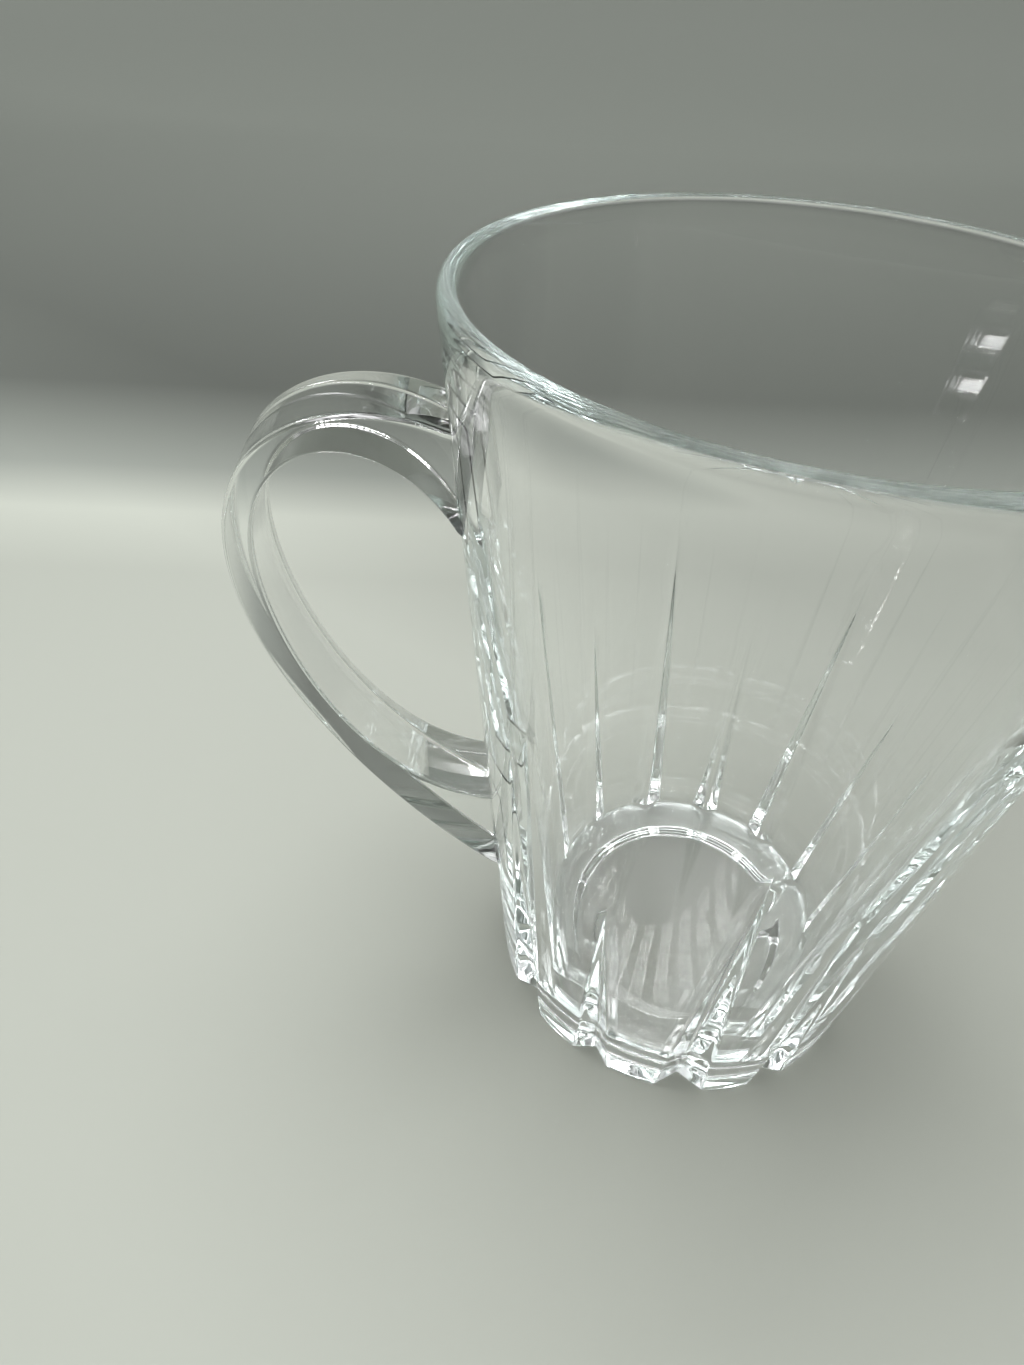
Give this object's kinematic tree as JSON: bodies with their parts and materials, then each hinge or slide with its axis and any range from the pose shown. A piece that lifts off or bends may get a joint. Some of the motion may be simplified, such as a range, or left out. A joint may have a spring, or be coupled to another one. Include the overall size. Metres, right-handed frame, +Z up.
{
  "type": "glass water pitcher",
  "caption": "Clear cut-crystal water pitcher: tapered thick-footed vessel with V mitre cuts rising from the foot, a pulled pouring lip and a flat strap handle.",
  "frame": {"origin": "centre of the flat resting face under the foot, on the vessel's axis", "axes": "+Z up along the vessel's axis, +X towards the pouring lip, the handle towards -X"},
  "size_m": [0.1815, 0.1312, 0.1712],
  "materials": {
    "vessel_crystal": "polished clear crystal, faintly green where it is thick",
    "handle_crystal": "polished clear crystal with crisp strap edges"
  },
  "bodies": {
    "root": {"vessel": "vessel_crystal", "handle": "handle_crystal"}
  },
  "joints": []
}
